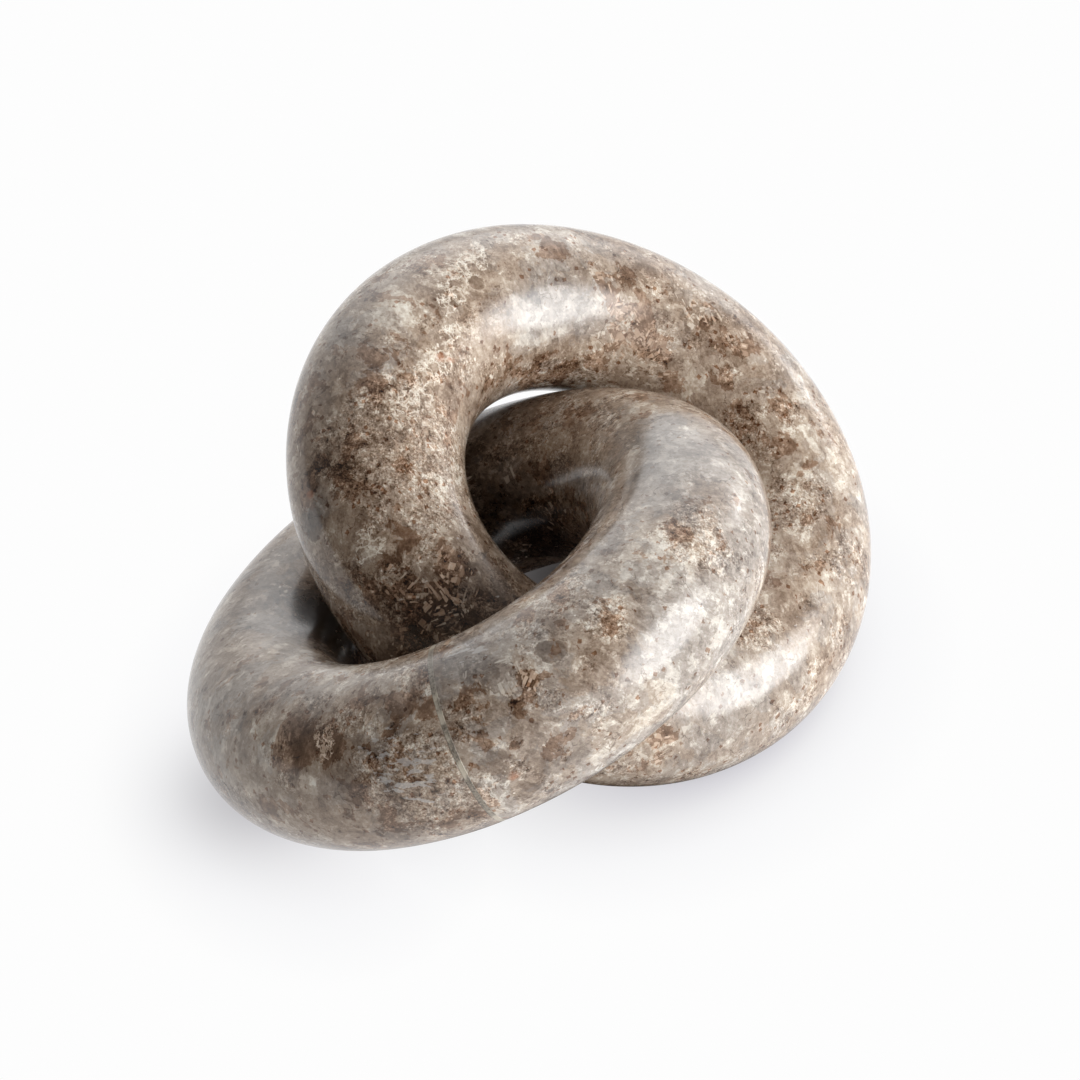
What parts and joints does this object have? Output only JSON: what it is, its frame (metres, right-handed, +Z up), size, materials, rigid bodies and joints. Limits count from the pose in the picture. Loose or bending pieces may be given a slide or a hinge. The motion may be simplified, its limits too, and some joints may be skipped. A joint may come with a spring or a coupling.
{
  "type": "chain link sculpture",
  "caption": "Interlinked thick polished marble rings, a loose chain link ornament for a table or shelf; the rear ring swings through the front ring's hole.",
  "frame": {"origin": "on the table, under the middle of the pair's bounding box, with the rings in their resting pose", "axes": "+Z up, +X to the right as the picture shows the pair, +Y away from its viewer, from the front ring towards the rear ring"},
  "size_m": [0.2308, 0.2484, 0.1339],
  "materials": {
    "marble": "polished brown and grey marble with cream shards, pale veins and rust spots",
    "seam_glue": "stone-coloured epoxy, polished flush with the marble",
    "dowel_steel": "plain ground stainless bar"
  },
  "bodies": {
    "front_link": {"front_ring_lower_half": "marble", "front_ring_upper_half": "marble", "front_seam_glue": "seam_glue", "back_seam_glue": "seam_glue", "front_seam_dowel": "dowel_steel", "back_seam_dowel": "dowel_steel"},
    "rear_link": {"rear_ring": "marble"}
  },
  "joints": [
    {"name": "rear_link_swing", "type": "hinge", "parent": "front_link", "child": "rear_link", "pos_m": [-0.015, -0.03, 0.07], "axis": [0.7909, -0.1602, -0.5906], "range_deg": [0, 140]}
  ]
}
